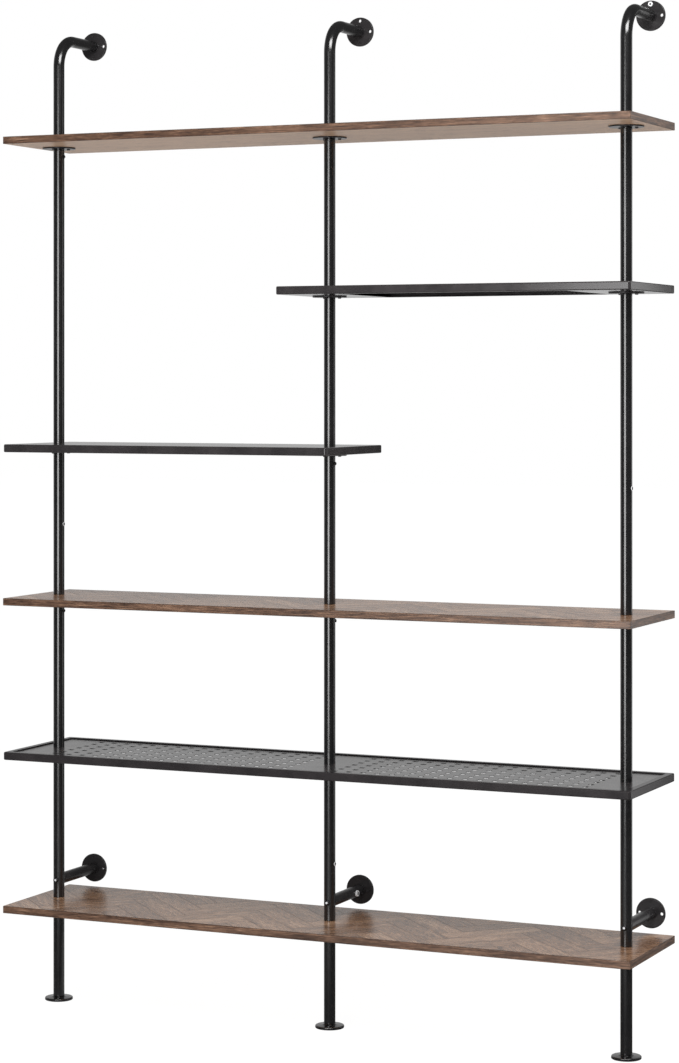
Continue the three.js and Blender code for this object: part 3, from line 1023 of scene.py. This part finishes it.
def add_lower_arm(post):
    """A straight arm whose front end is hollowed to sit on the post."""
    node = f"{post}_lower_arm"
    end = flange_face - SEAT_GAP
    seat = TUBE_RADIUS + SEAT_GAP
    bore = TUBE_RADIUS - TUBE_WALL
    rings = [[Vector((0, seat, 0))]]
    stations = (
        (None, TUBE_RADIUS),
        (seat + TUBE_EDGE, TUBE_RADIUS),
        (end, TUBE_RADIUS),
        (end, bore),
        (seat + ARM_PLUG, bore),
    )
    for y, radius in stations:
        ring = []
        for turn in turns(TUBE_SIDES):
            x, z = radius * math.cos(turn), radius * math.sin(turn)
            depth = y if y is not None else math.sqrt(seat * seat - x * x)
            ring.append(Vector((x, depth, z)))
        rings.append(ring)
    rings.append([Vector((0, seat + ARM_PLUG, 0))])
    arm = from_rings("arm", rings)
    if post == "middle":
        hole_y = wall_y - ARM_HOLE_FROM_WALL
        arm = carved(arm, side_hole(hole_y, 0))
        insert = side_insert("middle_arm_spare_insert", *ARM_INSERT)
        finished(shifted(insert, post_x[post], hole_y, arm_z), None)
    finished(shifted(arm, post_x[post], 0, arm_z), "post_coating", node, finish=FLANGE_COAT)


def add_arm_bolt(post):
    node = f"{post}_lower_arm_bolt"
    low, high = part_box(node)
    seat = TUBE_RADIUS + SEAT_GAP
    crown = BOLT_RADIUS * BOLT_CROWN
    steps = 2 * ARC_STEPS
    profile = [(0, -high.y), (BOLT_SHANK, -high.y), (BOLT_SHANK, seat), (BOLT_RADIUS, seat)]
    for k in range(steps + 1):
        angle = math.pi / 2 * k / steps
        reach = crown + (BOLT_RADIUS - crown) * math.cos(angle)
        lift = BOLT_SIDE * BOLT_HEIGHT + (1 - BOLT_SIDE) * BOLT_HEIGHT * math.sin(angle)
        profile.append((reach, seat + lift))
    profile += [
        (BOLT_SOCKET, seat + BOLT_HEIGHT, hexagon_radius),
        (BOLT_SOCKET, seat + BOLT_HEIGHT * BOLT_SOCKET_FLOOR, hexagon_radius),
        (0, seat + BOLT_HEIGHT * BOLT_SOCKET_FLOOR),
    ]
    bolt = turned("bolt", profile, SCREW_SIDES)
    # Painted highlight: the socket takes the near-white plating, standing in for the white glint at
    # the centre of each bolt head
    bolt = towards_room(painted(bolt, (OXIDE_AND_SOCKET_SHADE, PLATING_AND_GLINT), near_axis(BOLT_SOCKET, above=seat)))
    finished(shifted(bolt, post_x[post], 0, arm_z), "bolts", node)


# Support plates


def pan_head():
    """A pan-head screw seen from below, its head bearing on z = 0."""
    profile = [(0, PAN_HEIGHT), (PAN_RADIUS / 2, PAN_HEIGHT), (PAN_RADIUS / 2, 0), (PAN_RADIUS, 0)]
    for k in range(ARC_STEPS + 1):
        angle = math.pi / 2 * k / ARC_STEPS
        reach = PAN_RADIUS * (PAN_CROWN + (1 - PAN_CROWN) * math.cos(angle))
        profile.append((reach, -PAN_HEIGHT * (PAN_SIDE + (1 - PAN_SIDE) * math.sin(angle))))
    profile += [
        (PAN_CROSS, -PAN_HEIGHT, cross_radius),
        (PAN_CROSS * CROSS_TAPER, -PAN_HEIGHT * PAN_CROSS_WALL, cross_radius),
        (0, -PAN_HEIGHT * PAN_CROSS_TIP),
    ]
    return turned("screw", profile, SCREW_SIDES)


def add_support_plate(shelf, post):
    node = f"{post}_support_plate_{shelf['level']}"
    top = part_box(shelf["name"])[0].z - SEAT_GAP
    low = top - PLATE_THICKNESS
    edge = PLATE_RADIUS - PLATE_ROUND
    profile = [(PLATE_BORE, low)]
    profile += arc((edge, low + PLATE_ROUND), PLATE_ROUND, -90, 0)
    profile += [(PLATE_RADIUS, top), (PLATE_BORE, top)]
    plate = turned("plate", profile, DISC_SIDES, closed=True)
    screws = []
    for k in range(PLATE_SCREWS):
        angle = PLATE_SCREW_TURN + 2 * math.pi * k / PLATE_SCREWS
        x, y = PLATE_SCREW_CIRCLE * math.cos(angle), PLATE_SCREW_CIRCLE * math.sin(angle)
        screws.append(shifted(pan_head(), x, y, low))
    plate = shifted(joined(plate, *screws), post_x[post], 0, 0)
    finished(plate, "post_coating", node, finish=PLATE_COAT)


# Shelves


def post_bores(shelf, radius, low, high):
    return [shifted(rod(radius, low, high), post_x[post], 0, 0) for post in shelf["posts"]]


def board_face(face):
    """Number of a board face's finish: top, underside, banding or the line between them."""
    rise = face.normal.z
    if abs(rise) > LEVEL_FACE:
        return 0 if rise > 0 else 1
    return 2 if abs(rise) < UPRIGHT_FACE else 3


def add_board(shelf):
    low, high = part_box(shelf["name"])
    board = slab("board", low, high, BOARD_CORNER, BOARD_EDGE)
    board = carved(board, *post_bores(shelf, PLATE_BORE, low.z - OVERRUN, high.z + OVERRUN))
    painted(board, (PARQUET, UNDERSIDE, BAND, SEAM), board_face)
    finished(board, "wood", shelf["name"])


def bay_openings(shelf, low, high):
    """Cutters for the open underside between the closed zones round the posts."""
    cutters = []
    reach = high.y - TRAY_RETURN
    for first, second in zip(shelf["posts"], shelf["posts"][1:]):
        corner = Vector((post_x[first] + POST_ZONE, -reach, low.z - OVERRUN))
        far = Vector((post_x[second] - POST_ZONE, reach, low.z + SHEET + OVERRUN))
        cutters.append(slab("cutter", corner, far, OPENING_CORNER, CUT_EDGE))
    return cutters


def open_above(tray, low, high):
    """Cuts the opening over the perforated sheet and turns its edge down."""
    reach = Vector((RIM_WIDTH, RIM_WIDTH, 0))
    corner = Vector((low.x, low.y, high.z - SHEET - OVERRUN)) + reach
    far = Vector((high.x, high.y, high.z + OVERRUN)) - reach
    edge = Vector((SHEET, SHEET, 0))
    start = Vector((corner.x, corner.y, high.z - RIM_LIP)) - edge
    end = Vector((far.x, far.y, high.z - SHEET / 2)) + edge
    lip = slab("lip", start, end, TRAY_CORNER + SHEET, CUT_EDGE)
    corner.z = start.z - OVERRUN
    opened = carved(tray, slab("cutter", corner, far, TRAY_CORNER, CUT_EDGE))
    return joined(opened, carved(lip, slab("cutter", corner, far, TRAY_CORNER, CUT_EDGE)))


def add_steel_shelf(shelf):
    """A folded sheet shelf; a rim is open above as well, over the perforated sheet."""
    low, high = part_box(shelf["name"])
    rim = shelf["kind"] == "rim"
    tray = slab("tray", low, high, TRAY_CORNER, FOLD_RADIUS, ARC_STEPS)
    inset = Vector((SHEET, SHEET, SHEET))
    inner_corner = TRAY_CORNER - SHEET
    cavity = slab("cavity", low + inset, high - inset, inner_corner, FOLD_INSIDE, FOLD_INSIDE_STEPS)
    tray = carved(tray, cavity)
    tray = carved(tray, *bay_openings(shelf, low, high))
    if rim:
        tray = open_above(tray, low, high)
    else:
        radius = TUBE_RADIUS + TUBE_CLEARANCE
        span = (high.z - SHEET - OVERRUN, high.z + OVERRUN)
        tray = carved(tray, *post_bores(shelf, radius, *span))
    span = (low.z - OVERRUN, low.z + SHEET + OVERRUN)
    tray = carved(tray, *post_bores(shelf, PLATE_BORE, *span))
    finished(tray, "steel_sheet", shelf["name"], finish=RIM_COAT if rim else SHEET_COAT)


def add_shelves():
    for shelf in SHELVES:
        if shelf["kind"] == "board":
            add_board(shelf)
        else:
            add_steel_shelf(shelf)
        for post in shelf["posts"]:
            add_support_plate(shelf, post)
    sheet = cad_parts["perforated_shelf_sheet"]
    sheet.data.materials.clear()
    sheet.data.materials.append(MESH_COAT)


# Studio

# Camera: yaw in degrees, lens and sensor in millimetres, and rise as a share of the longer
# side of the picture, which the sensor spans
CAMERA_PLACE = Vector((2.5781, -5.6413, 1.4290))
CAMERA_YAW = 24.36
CAMERA_LENS = 95.03
CAMERA_SENSOR = 36
CAMERA_RISE = -0.1418
CAMERA_REACH = 200

# Floor: its grey, and the share and level of plain white that the camera sees over it
FLOOR_SIZE = 60
FLOOR_DROP = 0.3 * MM
FLOOR_GREY = 0.9
FLOOR_SHOW = 0.88
FLOOR_LEVEL = 1.08

# Floor in reflections: brighter far off, with a painted patch of light in front of the unit that
# stands in for the front light's reflection on the floor
NEAR_FLOOR = 3
FAR_FLOOR = 12
NEAR_FLOOR_GLOSS = 0.4
FAR_FLOOR_GLOSS = 0.8
PATCH_X = 0.16
PATCH_SIDES = (0.9, 1.0)
PATCH_BACK = (-1.2, -0.4)
PATCH_GLOSS = 0.28

# Room in reflections: the backdrop lies 45 degrees to the left of +Y and fades to the sides
BACKDROP_X = math.sin(math.radians(-45))
BACKDROP_Y = math.cos(math.radians(-45))
BACKDROP_FULL = math.cos(math.radians(34))
BACKDROP_END = math.cos(math.radians(56))
BACKDROP_GLOSS = 0.63
FRONT_GLOSS = 0.09
CEILING_START = 0.25
CEILING_FULL = 0.6

# Level of the world's own light
AMBIENT = 0.5


def add_camera():
    data = bpy.data.cameras.new("camera")
    data.lens = CAMERA_LENS
    data.sensor_width = CAMERA_SENSOR
    data.shift_y = CAMERA_RISE
    data.clip_end = CAMERA_REACH
    camera = bpy.data.objects.new("camera", data)
    camera.location = CAMERA_PLACE
    camera.rotation_euler = (math.radians(90), 0, math.radians(CAMERA_YAW))
    bpy.context.scene.collection.objects.link(camera)
    bpy.context.scene.camera = camera


def kinds_of_ray(finish):
    """1 or 0 for a ray from the camera, off a gloss and through glass, which see the backdrop."""
    path = finish.node("ShaderNodeLightPath")
    names = ("Is Camera Ray", "Is Glossy Ray", "Is Transmission Ray")
    return [Value(finish, path.outputs[name]) for name in names]


def backdrop(finish, x, y, level):
    """The level towards the backdrop behind the unit, and dim round the rest of the room."""
    reach = (x * x + y * y + 1e-6) ** 0.5
    facing = (x * BACKDROP_X + y * BACKDROP_Y) / reach
    return finish.stretch(facing, BACKDROP_END, BACKDROP_FULL, FRONT_GLOSS, level)


def add_floor():
    half = FLOOR_SIZE / 2
    corners = [(-half, -half), (half, -half), (half, half), (-half, half)]
    vertices = [Vector((x, y, -FLOOR_DROP)) for x, y in corners]
    floor = from_parts("floor", vertices, [(0, 1, 2, 3)])
    made = bpy.data.materials.new("white_floor")
    made.use_nodes = True
    finish = Finish(made.node_tree)
    camera, gloss, glass = kinds_of_ray(finish)
    grey = (FLOOR_GREY, FLOOR_GREY, FLOOR_GREY, 1)
    lit = finish.out("ShaderNodeBsdfDiffuse", inputs={"Color": grey})
    x, y = finish.position()[:2]
    # Painted reflection: a patch of light on the floor that only reflections see, standing in for
    # the front light's reflection on the floor
    patch = finish.stretch(abs(x - PATCH_X), *PATCH_SIDES, 1, 0)
    patch = patch * finish.stretch(y, *PATCH_BACK, 1, 0)
    reach = (x * x + y * y) ** 0.5
    full = finish.stretch(reach, NEAR_FLOOR, FAR_FLOOR, NEAR_FLOOR_GLOSS, FAR_FLOOR_GLOSS)
    mirrored = backdrop(finish, x, y, full) + patch * PATCH_GLOSS
    level = camera * FLOOR_LEVEL + glass + gloss * mirrored
    shown = finish.out("ShaderNodeEmission", inputs={"Color": (1, 1, 1, 1), "Strength": level})
    seen = camera * FLOOR_SHOW + gloss + glass
    both = finish.out("ShaderNodeMixShader", inputs={0: seen, 1: lit, 2: shown})
    finish.node("ShaderNodeOutputMaterial", inputs={0: both})
    floor.data.materials.append(made)


def add_world():
    """White backdrop behind the unit; the room in front of it is dim, as a studio is."""
    world = bpy.data.worlds.new("studio")
    bpy.context.scene.world = world
    world.use_nodes = True
    finish = Finish(world.node_tree)
    camera, gloss, glass = kinds_of_ray(finish)
    x, y, z = finish.split(finish.out("ShaderNodeTexCoord", output="Generated"))
    lit_wall = backdrop(finish, x, y, BACKDROP_GLOSS)
    ceiling = finish.stretch(z, CEILING_START, CEILING_FULL)
    shown = camera + glass + gloss * (lit_wall * (1 - ceiling) + ceiling * FRONT_GLOSS)
    level = shown + (1 - camera - gloss - glass) * AMBIENT
    sky = finish.out("ShaderNodeBackground", inputs={"Color": (1, 1, 1, 1), "Strength": level})
    finish.node("ShaderNodeOutputWorld", inputs={0: sky})


def add_softbox(name, place, target, width, height, power):
    data = bpy.data.lights.new(name, "AREA")
    data.shape = "RECTANGLE"
    data.size = width
    data.size_y = height
    data.energy = power
    lamp = bpy.data.objects.new(name, data)
    lamp.location = place
    direction = Vector(target) - Vector(place)
    lamp.rotation_euler = direction.to_track_quat("-Z", "Y").to_euler()
    bpy.context.scene.collection.objects.link(lamp)


def add_studio():
    add_camera()
    add_floor()
    add_world()
    add_softbox("front_light", place=(0.16, -4.0, 1.26), target=(0.18, 0, 1.26),
                width=1.92, height=2.14, power=78)
    add_softbox("side_light", place=(1.4, 1.1, 1.2), target=(0.747, 0, 1.2),
                width=0.6, height=2.3, power=4.8)
    add_softbox("top_light", place=(1.8, -2.2, 3.9), target=(0, 0, 0.9),
                width=2.6, height=1.6, power=140)
    bpy.context.scene.view_settings.view_transform = "Standard"


add_studio()
for each in POSTS:
    add_post(each)
    add_floor_disc(each)
    add_lower_arm(each)
    add_arm_bolt(each)
    for place in ("upper", "lower"):
        add_flange(each, place)
add_shelves()
